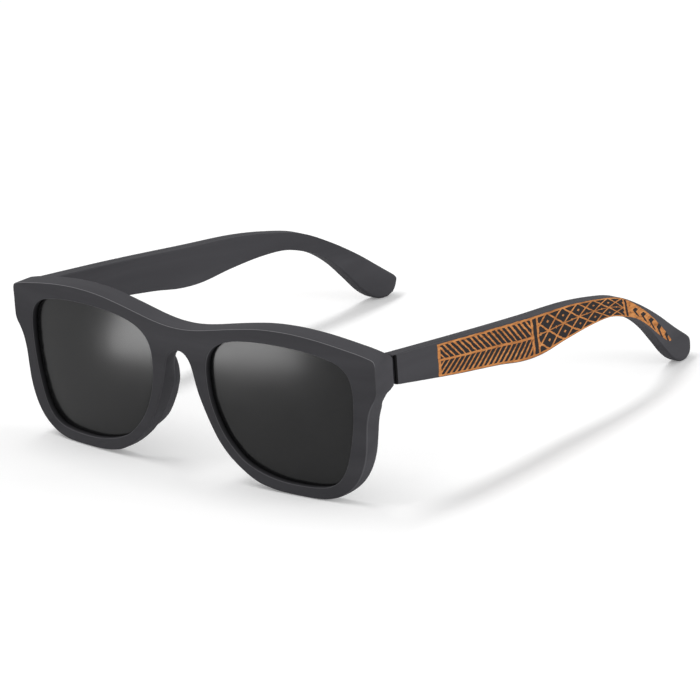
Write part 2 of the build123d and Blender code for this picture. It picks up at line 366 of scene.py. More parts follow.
# The carved panel on the outside of each temple. Places along it are in mm from the temple's front end,
# and places across it run from -1 to 1 between the temple's two edges.
panel = {
    "start": 18.2,
    "tip": 132.0,
    "edge": 0.955,
    "rim": 0.85,
    "tailCurve": 0.6,
    "wobble": 0.9, "wobbleAcross": 0.07, "wobbleScale": 420,
    "gap": 0.9, "wideBand": 1.6, "narrowBand": 1.0,
    "chevronGap": 1.2, "chevronEnd": 61.0, "chevronPitch": 2.35, "chevronSlant": 6.0, "chevronRib": 0.06,
    "strokeCentre": 0.6, "strokeHalf": 0.38, "strokeTaper": 0.12,
    "latticeEnd": 107.0, "latticeLength": 7.6, "latticeRows": 1.05, "latticeRib": 0.03,
    "latticeLine": 0.13, "seedFrom": 0.48, "seedTo": 0.66,
    "tickGap": 1.3, "tickPitch": 4.2, "tickSlant": 4.0, "tickBare": 0.62, "tickReach": 0.42,
    "bamboo": (0.50, 0.205, 0.066),
    "bambooDark": (0.25, 0.092, 0.028),
    "bambooLight": (0.66, 0.31, 0.115),
    "bambooStops": (0.30, 0.52, 0.75),
    "fibreScale": 1300,
    "fibreStretch": (1, 0.05, 1),
    "burnt": (0.026, 0.024, 0.025),
    "carveBump": 0.6, "carveDepth": 0.00012,
    # painted shade: how far from its front end the temple is darkened beside the hinge gap
    "paintedShadeEnd": 0.8,
}


def chevronStrokes(recipe, along, middle):
    # slanted dark strokes mirrored about a bare middle line
    m = recipe.math
    slanted = m("ADD", along, m("MULTIPLY", middle, panel["chevronSlant"]))
    stroke = m("FRACT", m("DIVIDE", slanted, panel["chevronPitch"]))
    half = m("SUBTRACT", panel["strokeHalf"], m("MULTIPLY", middle, panel["strokeTaper"]))
    cut = m("LESS_THAN", m("ABSOLUTE", m("SUBTRACT", stroke, panel["strokeCentre"])), half)
    extent = recipe.within(along, panel["start"] + panel["chevronGap"], panel["chevronEnd"])
    return recipe.allOf(cut, m("GREATER_THAN", middle, panel["chevronRib"]), extent)


def latticeCells(recipe, along, across, middle):
    # dark lozenges between two sets of thin slanted lines, each with a small bare lozenge in it
    m = recipe.math
    run = m("DIVIDE", along, panel["latticeLength"])
    rise = m("MULTIPLY", across, panel["latticeRows"])
    cuts, seeds = [], []
    for operation in ("ADD", "SUBTRACT"):
        line = m("FRACT", m(operation, run, rise))
        cuts.append(m("GREATER_THAN", line, panel["latticeLine"]))
        seeds.append(recipe.within(line, panel["seedFrom"], panel["seedTo"]))
    cells = m("SUBTRACT", recipe.allOf(*cuts), recipe.allOf(*seeds))
    start = panel["chevronEnd"] + 2 * panel["gap"] + panel["wideBand"]
    extent = recipe.within(along, start, panel["latticeEnd"])
    return recipe.allOf(cells, m("GREATER_THAN", middle, panel["latticeRib"]), extent)


def bandAfter(recipe, along, end, width):
    return recipe.within(along, end + panel["gap"], end + panel["gap"] + width)


def tailTicks(recipe, along, middle):
    m = recipe.math
    slanted = m("SUBTRACT", along, m("MULTIPLY", middle, panel["tickSlant"]))
    tick = m("FRACT", m("DIVIDE", slanted, panel["tickPitch"]))
    start = panel["latticeEnd"] + panel["gap"] + panel["narrowBand"] + panel["tickGap"]
    return recipe.allOf(m("GREATER_THAN", tick, panel["tickBare"]), m("GREATER_THAN", along, start),
                        m("LESS_THAN", middle, panel["tickReach"]))


def makeTempleWood():
    recipe = Recipe("templeWood")
    m = recipe.math
    pores, waves, stain = addStain(recipe, grainStretch["temple"])
    along, across = recipe.marks()
    # painted shade: the temple's front end goes near black beside the gap at the hinge
    hingeGapShade = recipe.within(along, -1, panel["paintedShadeEnd"])
    stain = recipe.mix(hingeGapShade, stain, stainedWood["paintedShade"])

    uneven = m("SUBTRACT", recipe.noise(recipe.place(), panel["wobbleScale"], detail=3), 0.5)
    wobble = m("MULTIPLY", uneven, panel["wobble"])
    along = m("ADD", along, wobble)
    across = m("ADD", across, m("MULTIPLY", wobble, panel["wobbleAcross"]))
    middle = m("ABSOLUTE", across)
    dark = recipe.anyOf(chevronStrokes(recipe, along, middle),
                        latticeCells(recipe, along, across, middle),
                        bandAfter(recipe, along, panel["chevronEnd"], panel["wideBand"]),
                        bandAfter(recipe, along, panel["latticeEnd"], panel["narrowBand"]),
                        tailTicks(recipe, along, middle))
    dark = m("MULTIPLY", dark, m("LESS_THAN", middle, panel["rim"]))

    # the tail narrows to a point
    tailLeft = m("SUBTRACT", panel["tip"], along)
    tailLeft = m("DIVIDE", tailLeft, panel["tip"] - panel["latticeEnd"], clamp=True)
    reach = m("MULTIPLY", m("POWER", tailLeft, panel["tailCurve"]), panel["edge"])
    inside = m("MULTIPLY", m("LESS_THAN", middle, reach), recipe.within(along, panel["start"], panel["tip"]))
    bare = m("MULTIPLY", inside, m("SUBTRACT", 1.0, dark), clamp=True)

    fibres = recipe.noise(recipe.place(panel["fibreStretch"]), panel["fibreScale"], rough=0.65, distort=0.3)
    shades = (panel["bambooDark"], panel["bamboo"], panel["bambooLight"])
    bamboo = recipe.ramp(fibres, list(zip(panel["bambooStops"], shades)))
    ground = recipe.mix(inside, stain, panel["burnt"])
    grain = finishWood(recipe, pores, waves, recipe.mix(bare, ground, bamboo))
    recipe.give({"Normal": recipe.bump(bare, panel["carveBump"], panel["carveDepth"], grain)})
    return recipe.material


smokeGlass = {
    "dark": (0.006, 0.006, 0.0065),
    "light": (0.009, 0.009, 0.0095),
    "darkBelow": 0.3,
    "lightAbove": 0.7,
    "smearScale": 60,
    "rough": (0.17, 0.24),
    "specular": 0.25,
    "alpha": 0.985,
}


def makeLensGlass():
    look = smokeGlass
    recipe = Recipe("smokeLens")
    smear = recipe.noise(recipe.place(), look["smearScale"], detail=3, rough=0.5, distort=0.4)
    tone = recipe.ramp(smear, [(look["darkBelow"], look["dark"]), (look["lightAbove"], look["light"])])
    recipe.give({"Base Color": tone, "Roughness": recipe.spread(smear, *look["rough"]),
                 "Specular IOR Level": look["specular"], "Alpha": look["alpha"]})
    return recipe.material


metals = {
    "hingeSteel": {"colour": (0.58, 0.58, 0.60), "rough": (0.24, 0.42), "stretch": (1, 0.05, 1)},
    "screwSteel": {"colour": (0.74, 0.74, 0.76), "rough": (0.12, 0.26), "stretch": (1, 1, 0.1)},
    "springSteel": {"colour": (0.45, 0.45, 0.47), "rough": (0.2, 0.4), "stretch": (1, 1, 1)},
    "bushBrass": {"colour": (0.78, 0.58, 0.28), "rough": (0.2, 0.38), "stretch": (1, 1, 1)},
}
metalWear = {
    "scratchScale": 2600, "scratchBump": 0.2, "scratchDepth": 0.00001,
    "patchScale": 300, "patchShade": 0.8, "patchStops": (0.3, 0.7),
}


def makeMetal(name):
    metal = metals[name]
    wear = metalWear
    recipe = Recipe(name)
    scratch = recipe.noise(recipe.place(metal["stretch"]), wear["scratchScale"], rough=0.6)
    patches = recipe.noise(recipe.place(), wear["patchScale"], detail=3)
    shades = (tuple(c * wear["patchShade"] for c in metal["colour"]), metal["colour"])
    recipe.give({"Base Color": recipe.ramp(patches, list(zip(wear["patchStops"], shades))),
                 "Roughness": recipe.spread(scratch, *metal["rough"]), "Metallic": 1.0,
                 "Normal": recipe.bump(scratch, wear["scratchBump"], wear["scratchDepth"])})
    return recipe.material


frontWood = makeStainedWood("frontWood", grainStretch["front"])
padWood = makeStainedWood("padWood", grainStretch["pad"])
templeWood = makeTempleWood()
lensGlass = makeLensGlass()
metalLooks = {name: makeMetal(name) for name in metals}
print("materials made")


# Front

front = {
    "bowRadius": 460.0,
    "backBowRadius": 455.5,
    "footDepth": 4.5,
    "browDepth": 7.2,
    "height": 48.9,
    "halfWidth": 71.4,
    # roundings, as how far in from the side and how deep from the face; the pairs whose names end in
    # X or Z say where one form passes into the next
    "crispRound": (0.28, 0.28),
    "softRound": (0.45, 1.2),
    "softX": (14, 34), "softTopZ": (31.4, 33),
    "wallRound": 0.3,
    "browBackRound": 0.35, "browZ": 34,
    "lowBackRound": 0.9,
    "cheekBackInset": 0.6, "cheekBackDepth": 2.2, "cheekX": (40, 58), "cheekTopZ": (33.1, 34.6),
    "notchInset": 2.1, "notchZ": (28.5, 31.8),
    "footBackDepth": 3.1, "footZ": (7, 16),
    "archBackInset": 2.4, "archBackDepth": 3.4, "archX": (7.5, 11), "archZ": (24, 32), "archTopZ": 40,
    "edgeBand": 0.3,
    # painted highlights: light lines on one ring of points of each front rounding, brightest along the
    # brow's top edge
    "highlightRing": 3,
    "browHighlight": 0.85, "cheekHighlight": 0.12, "openingHighlight": 0.3, "browHighlightZ": (42.8, 43.9),
    "outlineStep": 0.9,
    "fillStep": 2.2,
    "halfOutline": [
        (0, 44.0), (5, 44.25), (10, 44.95), (15, 45.9), (20, 46.85), (25, 47.7), (30, 48.4), (35, 48.8),
        (42, 48.88), (47, 48.6), (52, 48.12), (57, 47.4), (62, 46.55), (66, 45.8), (69.6, 44.9),
        (70.9, 44.4), (71.35, 43.6), (71.4, 40), (71.4, 36), (71.3, 34.5), (70.8, 33.2), (69.7, 31.3),
        (68.5, 29.0), (67.5, 25.3), (66.95, 20), (66.4, 15.7), (65.4, 12), (63.8, 8.5), (61.5, 5.43),
        (58.5, 3.03), (55.1, 1.31), (51.3, 0.33), (47.5, 0.03), (45, 0.0), (42, 0.03), (38, 0.12),
        (34.7, 0.3), (31, 0.85), (27.4, 1.75), (22.7, 4.15), (18.3, 7.3), (15.75, 9.7), (13.35, 12.65),
        (11.5, 15.7), (9.95, 18.6), (8.5, 21.7), (7.15, 24.9), (6.25, 27.7), (5.5, 30.7), (5.1, 32.2),
        (4.5, 33.9), (3.75, 35.2), (2.7, 36.25), (1.4, 36.95), (0, 37.1)],
    "opening": [
        (10.7, 32.5), (11.3, 36.3), (12.4, 38.5), (14, 40.2), (16, 41.5), (18.5, 42.5), (22, 43.4),
        (27, 44.1), (33, 44.45), (38, 44.5), (45, 44.2), (50, 43.7), (55, 42.8), (58, 41.9), (60.2, 40.6),
        (61.9, 38.7), (62.8, 36.4), (63.2, 33.5), (63.15, 30), (62.8, 25), (62, 20), (61, 15.5),
        (59.7, 11.4), (58.3, 8.7), (56.8, 6.8), (55, 5.4), (52.4, 4.3), (48, 3.6), (43.5, 3.4), (38, 3.5),
        (34, 3.95), (30, 4.8), (26, 6.1), (22.6, 7.8), (20.3, 9.6), (18, 11.9), (16, 14.3), (14.3, 17.1),
        (12.9, 20.1), (11.8, 23.2), (11, 27)],
}
# the block behind each upper outer corner, and the pocket beside it for the hinge leaf
endPiece = {
    "start": 66.8, "backY": 13.27,
    "low": 34.7, "lowRise": 0.7,
    "high": 44.6, "highDrop": 0.8,
    "pocketStart": 62.7, "pocketLow": 33.6, "pocketHigh": 43.2, "pocketY": 10.70,
    # points that make its steps crisp: how close they stand on both sides, and how they are spaced
    "halfStep": 0.04, "spotPitch": 0.35, "wallBelow": 0.6, "wallRows": 33, "pocketColumns": 12,
    "slopeFrom": 0.3, "slopePitch": 0.5, "slopeColumns": 8,
}
lens = {
    "setback": 1.9, "thickness": 1.6, "groove": 0.66, "grooveRoom": 0.03, "grooveLip": 0.01,
    "bulge": 0.7, "bulgeAcross": 0.35, "fillStep": 1.8,
}


def bow(x, radius=front["bowRadius"]):
    return radius - math.sqrt(radius**2 - x**2)


def frontY(x, z):
    return bow(x)


def backY(x, z):
    # the back face leans, so the brow is the thickest, and it is stepped at the end pieces
    slope = (front["browDepth"] - front["footDepth"]) / front["height"]
    plain = front["footDepth"] + bow(x, front["backBowRadius"]) + slope * z
    part = endPiece
    far = abs(x)
    if far > part["start"]:
        low = ease(z, part["low"], part["low"] + part["lowRise"])
        high = 1 - ease(z, part["high"] - part["highDrop"], part["high"])
        return plain + (part["backY"] - plain) * low * high
    if far > part["pocketStart"] and part["pocketLow"] < z < part["pocketHigh"]:
        return min(plain, part["pocketY"])
    return plain


def onFront(x, y, z):
    # kept inside the front's own box
    limit = front["halfWidth"]
    return (max(-limit, min(limit, x)), frontFaceY + y, max(0, z))


def mirrorX(points):
    return [(-x, z) for x, z in reversed(points)]


# how clear the filling points stay, in shares of a step, and how clear the spots stay of lines, in mm
fill = {"rowShift": 0.37, "offLines": 0.55, "offSpots": 0.4, "spotsOffLines": 0.12, "weld": 1e-6}


def nearestPoint(point, lines):
    return min((point - other).length for line in lines for other in line)


def gridPoints(lines, step, spots):
    # staggered rows between the lines, clear of them and of the spots
    lowX, highX = min(p.x for p in lines[0]), max(p.x for p in lines[0])
    lowZ, highZ = min(p.y for p in lines[0]), max(p.y for p in lines[0])
    points = []
    for row in range(int((highZ - lowZ) / step) + 1):
        for column in range(int((highX - lowX) / step) + 1):
            across = column + 0.5 * (row % 2)
            point = Vector((lowX + across * step, lowZ + (row + fill["rowShift"]) * step))
            if not isBetween(point, lines) or nearestPoint(point, lines) <= step * fill["offLines"]:
                continue
            if all(abs(point.x - x) + abs(point.y - z) > step * fill["offSpots"] for x, z in spots):
                points.append(point)
    return points


def fillBetween(shell, rings, height, step, spots=()):
    # triangles over the area inside the first ring and outside the others
    lines = [line for ring, line in rings]
    coords, owners, edges = [], [], []
    for ring, line in rings:
        first = len(coords)
        coords += line
        owners += ring
        edges += [(first + i, first + (i + 1) % len(line)) for i in range(len(line))]
    loose = gridPoints(lines, step, spots)
    for point in (Vector(spot) for spot in spots):
        if isBetween(point, lines) and nearestPoint(point, lines) > fill["spotsOffLines"]:
            loose.append(point)
    coords += loose
    owners += [None] * len(loose)
    found = delaunay_2d_cdt(coords, edges, [], 0, fill["weld"])
    places, tris, sources = found[0], found[2], found[3]
    index = []
    for place, source in zip(places, sources):
        owner = next((owners[s] for s in source if owners[s] is not None), None)
        index.append(owner if owner is not None else shell.add(height(place)))
    for tri in tris:
        centre = sum((places[i] for i in tri), Vector((0, 0))) / 3
        if isBetween(centre, lines):
            shell.faces.append(tuple(index[i] for i in tri))


def roundedSteps(radius, steps=4):
    # from the face to the side: (how far in from the side, how deep from the face)
    turns = [math.pi / 2 * k / steps for k in range(steps + 1)]
    return [(radius * (1 - math.sin(a)), radius * (1 - math.cos(a))) for a in turns]


def frontEdge(x, z):
    # the front edge is soft round the cheeks and the foot, and crisp along the brow and the nose
    soft = (1 - ease(z, *front["softTopZ"])) * ease(abs(x), *front["softX"])
    return [a + (b - a) * soft for a, b in zip(front["crispRound"], front["softRound"])]


def backEdge(x, z):
    # how far in and how deep the outer back edge is rounded
    cheek = ease(abs(x), *front["cheekX"]) * (1 - ease(z, *front["cheekTopZ"]))
    foot = cheek * (1 - ease(z, *front["footZ"]))
    small = front["browBackRound"] if z > front["browZ"] else front["lowBackRound"]
    notch = front["notchInset"] * ease(z, *front["notchZ"])
    inset = small + (front["cheekBackInset"] + notch - small) * cheek
    depth = small + (front["cheekBackDepth"] - small) * cheek
    depth += (front["footBackDepth"] - front["cheekBackDepth"]) * foot
    flare = 0
    if z < front["archTopZ"]:
        flare = ease(z, *front["archZ"]) * (1 - ease(abs(x), *front["archX"]))
    return inset + front["archBackInset"] * flare, depth + front["archBackDepth"] * flare


def openingEdge(x, z):
    return front["wallRound"], front["wallRound"]


def edgeSteps(edge, face, into):
    # steps round an edge, from a narrow band on the face to the side; into is 1 where the wood lies
    # behind the face, and -1 where it lies before it
    steps = []
    for insetShare, depthShare, more in [(1, 0, front["edgeBand"])] + [(*s, 0) for s in roundedSteps(1)]:
        def step(p, insetShare=insetShare, depthShare=depthShare, more=more):
            inset, depth = edge(p.x, p.y)
            return inset * insetShare + more, face(p.x, p.y) + into * depth * depthShare
        steps.append(step)
    return steps


def grooveSteps():
    # the wall of an opening with the groove that holds the lens
    start = lens["setback"] - lens["grooveRoom"]
    end = lens["setback"] + lens["thickness"] + lens["grooveRoom"]
    deep, lip = lens["groove"], lens["grooveLip"]
    corners = ((0, start), (deep, start + lip), (deep, end - lip), (0, end))
    return [lambda p, inset=inset, depth=depth: (inset, bow(p.x) + depth) for inset, depth in corners]


def wallRings(shell, line, away, steps, marks):
    # a ring of points for each step, as (ring, its line seen from the front)
    rings = []
    for step, mark in zip(steps, marks):
        ring, moved = [], []
        for point, normal in zip(line, away):
            inset, y = step(point)
            moved.append(point - normal * inset)
            ring.append(shell.add(onFront(moved[-1].x, y, moved[-1].y), mark(point)))
        rings.append((ring, moved))
    shell.bridge([ring for ring, moved in rings])
    return rings


def openingLine(sign):
    # an opening's outline, and the normals that point into the opening
    points = [(x * sign, z) for x, z in front["opening"]]
    line = smoothLine(points, front["outlineStep"], closed=True)
    return line, [-n * sign for n in sideNormals(line)]


def stepSpots():
    # pairs of close points on both sides of each step in the back face
    part = endPiece
    near, pitch = part["halfStep"], part["spotPitch"]
    spots = []
    for sign in sideSigns.values():
        for k in range(part["wallRows"]):
            z = part["pocketLow"] - part["wallBelow"] + pitch * k
            for x in (part["start"], part["pocketStart"]):
                spots += [(sign * (x - near), z), (sign * (x + near), z)]
        for k in range(part["pocketColumns"]):
            x = sign * (part["pocketStart"] + pitch * k)
            for z in (part["pocketLow"], part["pocketHigh"]):
                spots += [(x, z - near), (x, z + near)]
        for k in range(part["slopeColumns"]):
            x = sign * (part["start"] + part["slopeFrom"] + part["slopePitch"] * k)
            for z in (part["low"], part["low"] + part["lowRise"], part["high"] - part["highDrop"]):
                spots.append((x, z))
    return spots


# What the UV map says at a point of the front: (painted shade, painted highlight)

def unmarked(p):
    return 0, 0


# marks the lens groove rings for painted shade
def shadeMark(p):
    return 1, 0


# painted highlight along the outer edge, strongest along the brow's top edge
def outerHighlight(p):
    top = ease(p.y, *front["browHighlightZ"])
    return 0, front["cheekHighlight"] + (front["browHighlight"] - front["cheekHighlight"]) * top


# painted highlight along the openings' front edges
def openingHighlight(p):
    return 0, front["openingHighlight"]


def makeFront():
    shell = Shell()
    half = front["halfOutline"]
    outline = smoothLine(half + mirrorX(half)[1:-1], front["outlineStep"], closed=True)
    steps = edgeSteps(frontEdge, frontY, 1) + edgeSteps(backEdge, backY, -1)[::-1]
    marks = [unmarked] * len(steps)
    marks[front["highlightRing"]] = outerHighlight
    outer = wallRings(shell, outline, sideNormals(outline), steps, marks)
    frontLines, backLines = [outer[0]], [outer[-1]]

    rounding = edgeSteps(openingEdge, frontY, 1)
    groove = grooveSteps()
    steps = rounding + groove + edgeSteps(openingEdge, backY, -1)[::-1]
    marks = [unmarked] * len(rounding) + [shadeMark] * len(groove) + [unmarked] * len(rounding)
    marks[front["highlightRing"]] = openingHighlight
    for sign in sideSigns.values():
        line, inwards = openingLine(sign)
        wall = wallRings(shell, line, inwards, steps, marks)
        frontLines.append(wall[0])
        backLines.append(wall[-1])

    step = front["fillStep"]
    fillBetween(shell, frontLines, lambda p: onFront(p.x, frontY(p.x, p.y), p.y), step)
    fillBetween(shell, backLines, lambda p: onFront(p.x, backY(p.x, p.y), p.y), step, stepSpots())
    piece = shell.piece("woodenFront", frontWood)
    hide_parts("front_frame")
    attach(piece, "front")


def makeLens(side):
    shell = Shell()
    line, inwards = openingLine(sideSigns[side])
    grown = [p - n * lens["groove"] for p, n in zip(line, inwards)]
    middleZ = (min(p.y for p in grown) + max(p.y for p in grown)) / 2
    middleX = (min(p.x for p in grown) + max(p.x for p in grown)) / 2
    reach = max(p.y for p in grown) - middleZ

    def bulge(p):
        far = ((p.y - middleZ)**2 + lens["bulgeAcross"] * (p.x - middleX)**2) / reach**2
        return lens["bulge"] * max(0, 1 - far)

    depths = (lens["setback"], lens["setback"] + lens["thickness"])
    rings = [[shell.add(onFront(p.x, bow(p.x) + d, p.y)) for p in grown] for d in depths]
    shell.bridge(rings)
    for ring, depth in zip(rings, depths):
        fillBetween(shell, [(ring, grown)],
                    lambda p, depth=depth: onFront(p.x, bow(p.x) + depth - bulge(p), p.y), lens["fillStep"])
    piece = shell.piece(f"{side}SmokeLens", lensGlass)
    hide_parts(f"{side}_lens")
    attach(piece, "front")


makeFront()
for side in sideSigns:
    makeLens(side)
print("front and lenses made")


# Temples

temple = {
    "frontY": 14.175,
    "thickness": 4.6,
    "outerX": 71.4,
    "length": 143.7,
    # the outer face from above: shares of the length, and of the toe-in inwards
    "toeIn": 10.4,
    "plan": [(0, 0), (0.22, 0.045), (0.60, 0.33), (1.0, 1.0)], "planStep": 0.01,
    # how far the top tilts inwards for each 10 mm of height, and where this begins and is full
    "lean": 1.4, "leanY": (40, 130),
    "top": [(14.175, 43.78), (44.93, 40.6), (74.96, 37.32), (94.93, 35.26), (107.87, 32.94),
            (119.94, 29.74), (130.28, 24.57), (141.49, 17.57), (150, 11.35), (152.9, 9.25), (155.0, 7.75),
            (156.5, 6.7), (157.35, 5.95), (157.75, 5.2)],
    "foot": [(14.175, 35.04), (40.04, 30.48), (60.02, 27.28), (70, 25.3), (78.98, 24.7), (91.92, 25.75),
             (104.99, 26.23), (114.05, 25.62), (121.09, 23.47), (127.41, 20.49), (133.73, 15.68),
             (139.34, 9.76), (144.8, 3.8), (148.2, 1.3), (151.0, 0.12), (153.2, 0.02), (154.8, 0.3),
             (155.9, 1.15), (156.7, 2.6), (157.3, 4.0), (157.7, 4.85)],
    "lineStep": 0.4,
    "stations": 96,
    "frontRound": 0.4, "frontRoundSteps": 3,
    "corner": 0.42, "cornerGrowth": 0.7, "cornerGrows": (0.75, 0.97), "cornerLimit": 0.44,
    "cornerSteps": 4, "faceSteps": 8,
    # rings close together where the tip thins out
    "tipShares": [0.972, 0.978, 0.983, 0.987, 0.990, 0.9925, 0.995, 0.997, 0.9985, 1],
    "tipStart": 0.975, "tipThin": 1.5,
}
# UV places that lie off the panel, for all but the outer face
offPanel = {"along": -50, "across": 9}

planLine = [tuple(p) for p in smoothLine(temple["plan"], temple["planStep"])]


def movedIn(y):
    # how far inwards the outer face has moved at this place
    return lookUp(planLine, (y - temple["frontY"]) / temple["length"]) * temple["toeIn"]


def templeSection(inset, thin, corner, height):
    # (across, up, panel v) all round; across is 0 on the outer face, and v runs from -1 to 1 there
    half = height / 2
    flat = half - inset - corner
    outer = inset + thin
    inner = temple["thickness"] - outer
    ring = []
    for isInner, side, turn in ((False, 1, 0), (True, 1, 90), (True, -1, 180), (False, -1, 270)):
        centre = inner - corner if isInner else outer + corner
        for k in range(temple["cornerSteps"] + 1):
            a = math.radians(turn + 90 * k / temple["cornerSteps"])
            up = flat * side + corner * math.sin(a)
            v = offPanel["across"] * side if isInner else up / half
            ring.append((centre - corner * math.cos(a), up, v))
        if turn == 90:
            ring.append((inner, 0, 0))
    for k in range(1, temple["faceSteps"]):
        up = -flat + 2 * flat * k / temple["faceSteps"]
        ring.append((outer, up, up / half))
    return ring


def makeTemple(side):
    sign = sideSigns[side]
    shell = Shell()
    tops = smoothLine(temple["top"], temple["lineStep"])
    feet = smoothLine(temple["foot"], temple["lineStep"])
    rings = []

    def addRing(share, inset=0, shift=0):
        top, foot = placeAt(tops, share)[0], placeAt(feet, share)[0]
        middle = (top + foot) / 2 + Vector((shift, 0))
        height = (top - foot).length
        way = (top - foot).normalized()
        lean = temple["lean"] * ease(middle.x, *temple["leanY"])
        corner = temple["corner"] + temple["cornerGrowth"] * ease(share, *temple["cornerGrows"])
        corner = min(corner, temple["cornerLimit"] * height)
        tip = max(0, (share - temple["tipStart"]) / (1 - temple["tipStart"]))
        thin = temple["tipThin"] * (1 - math.sqrt(1 - tip**2))
        ring = []
        for x, up, v in templeSection(inset, thin, corner, height):
            place = middle + way * up
            across = temple["outerX"] - movedIn(place.x) - x - lean * up / 10
            isOuter = x < temple["thickness"] / 2
            along = place.x - temple["frontY"] if isOuter else offPanel["along"]
            ring.append(shell.add((sign * across, frontFaceY + place.x, max(0, place.y)), (along, v)))
        rings.append(ring)

    for inset, depth in roundedSteps(temple["frontRound"], temple["frontRoundSteps"]):
        addRing(0, inset, depth)
    count = temple["stations"]
    for share in [k / count for k in range(1, count - 3)] + temple["tipShares"]:
        addRing(share)
    shell.tube(rings)
    piece = shell.piece(f"{side}WoodenTemple", templeWood)
    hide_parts(f"{side}_temple")
    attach(piece, f"{side}_temple")


for side in sideSigns:
    makeTemple(side)
print("temples made")


# Nose pads

pad = {
    "edge": [(22.7, 4.15), (20.5, 5.6), (18.3, 7.3), (15.75, 9.7), (13.35, 12.65), (11.5, 15.7),
             (9.95, 18.6), (8.5, 21.7), (7.15, 24.9), (6.25, 27.7), (5.5, 30.7), (5.0, 33.2)],
    "edgeStep": 0.2,
    "stations": 56,
    # how far the ridge stands off the rim's nose edge, by the share of the pad's length
    "ridge": [(0, 2.4), (0.15, 1.6), (0.3, 1.15), (0.45, 0.95), (0.6, 1.0), (0.73, 1.6), (0.86, 3.1),
              (1, 4.9)],
    "start": 0.25, "ridgeReach": 1.7,
    "width": 5.2, "leastWidth": 0.5, "leastSpread": 0.3,
    "reachY": 9.4, "sink": 0.25, "sinkAt": 2,
    # how the pad rises from the rim at one end and falls back at the other
    "riseTo": 0.4, "risePower": 0.6, "fallFrom": 0.78, "fallSpan": 0.22, "fallPower": 2.6,
    # corners of its section: from which line, how far across, and the share of the height
    "section": [("start", 0, -0.3), ("start", 0.1, 0.55), ("ridge", -0.3, 0.98), ("ridge", 0.9, 1.02),
                ("end", -0.5, 0.62), ("end", 0, -0.3)],
    "smoothAngle": 50,
}


def cutCorners(points, times=3):
    # a smooth line from a few corners, with its ends kept
    for turn in range(times):
        line = [points[0]]
        for a, b in zip(points, points[1:]):
            line += [a.lerp(b, 0.25), a.lerp(b, 0.75)]
        points = line + [points[-1]]
    return points


def padFullness(share):
    rise = ease(share, 0, pad["riseTo"])**pad["risePower"]
    fall = max(0, (share - pad["fallFrom"]) / pad["fallSpan"])**pad["fallPower"]
    return rise * max(0, 1 - fall)**0.5


def padSection(share, point):
    # (out from the edge, back), rounded, at one place along the pad
    full = padFullness(share)
    back = backY(point.x + pad["sinkAt"], point.y) - pad["sink"]
    ridge = lookUp(pad["ridge"], share)
    start = max(pad["start"], ridge - pad["ridgeReach"])
    end = start + pad["width"] * (pad["leastWidth"] + (1 - pad["leastWidth"]) * full)
    lines = {"start": start, "ridge": ridge, "end": end}
    middle = (start + end) / 2
    spread = pad["leastSpread"] + (1 - pad["leastSpread"]) * full
    corners = []
    for line, across, height in pad["section"]:
        out = middle + (lines[line] + across - middle) * spread
        corners.append(Vector((out, back + (pad["reachY"] - back) * full * height)))
    return cutCorners(corners)


def makePad(side):
    # a crescent of wood glued to the back of the rim beside the nose
    sign = sideSigns[side]
    shell = Shell()
    edge = smoothLine(pad["edge"], pad["edgeStep"])
    rings = []
    for k in range(pad["stations"] + 1):
        share = k / pad["stations"]
        point, way = placeAt(edge, share)
        out = Vector((way.y, -way.x))
        ring = []
        for spot in padSection(share, point):
            far = point + out * spot.x
            ring.append(shell.add((sign * far.x, frontFaceY + spot.y, far.y)))
        rings.append(ring)
    shell.tube(rings)
    piece = shell.piece(f"{side}WoodenPad", padWood, pad["smoothAngle"])
    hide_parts(f"{side}_nose_pad")
    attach(piece, "front")


for side in sideSigns:
    makePad(side)
print("nose pads made")


# Hinge springs, which shorten as the temple is pulled outwards

spring = {
    "turns": 5, "length": 5.08, "coilRadius": 0.95, "wireRadius": 0.19,
    "turnSteps": 30, "wireSides": 10, "smoothAngle": 45,
}


def makeSpring(side):
    low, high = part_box(f"{side}_hinge_spring")
    centre = (low + high) / 2 / mm
    slide = next(j for j in frame["joints"] if j["name"] == f"{side}_spring_slide")
    along = Vector(slide["axis"]).normalized()
    across = Vector((sideSigns[side], 0, 0))
    up = Vector((1, 0, 0)).cross(along)
    shell = Shell()
    rings = []
    steps = spring["turns"] * spring["turnSteps"]
    fullTurn = math.tau * spring["turns"]
    for k in range(steps + 1):
        share = k / steps
        angle = fullTurn * share
        out = across * math.cos(angle) - up * math.sin(angle)
        way = -across * math.sin(angle) - up * math.cos(angle)
        way = (way * fullTurn * spring["coilRadius"] + along * spring["length"]).normalized()
        beside = way.cross(out)
        middle = centre + out * spring["coilRadius"] + along * spring["length"] * (share - 0.5)
        ring = []
        for i in range(spring["wireSides"]):
            turn = math.tau * i / spring["wireSides"]
            spoke = out * math.cos(turn) + beside * math.sin(turn)
            ring.append(shell.add(middle + spoke * spring["wireRadius"]))
        rings.append(ring)
    shell.tube(rings)
    piece = shell.piece(f"{side}CoilSpring", metalLooks["springSteel"], spring["smoothAngle"])
    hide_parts(f"{side}_hinge_spring")
    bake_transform(piece)


for side in sideSigns:
    makeSpring(side)
print("springs made")


# Metal parts keep their shapes and take these finishes

finishes = {
    "front_leaf": "hingeSteel", "leaf_screws": "screwSteel", "hinge_screw": "screwSteel",
    "hinge_slider": "hingeSteel", "rod_nut": "hingeSteel", "spring_box": "hingeSteel",
    "box_screws": "screwSteel", "guide_bush": "bushBrass",
}
for side in sideSigns:
    for part, metal in finishes.items():
        for slot in frame["nodes"][f"{side}_{part}"].material_slots:
            slot.material = metalLooks[metal]
print("carried-over parts finished")


# Stage, in metres

stage = {
    "halfSize": 6.0, "colour": (0.90, 0.90, 0.90), "speckShade": 0.995, "speckScale": 40,
    "speckStops": (0.3, 0.7), "rough": 0.9,
    "lift": 0.20, "room": 0.52,
}
camera = {
    "place": (1.144807, -1.155196, 0.571685), "azimuth": 42.997, "height": 18.312, "roll": -4.072,
    "focalPixels": 5962.354, "framePixels": 700, "sensor": 36.0, "nearest": 0.05,
}
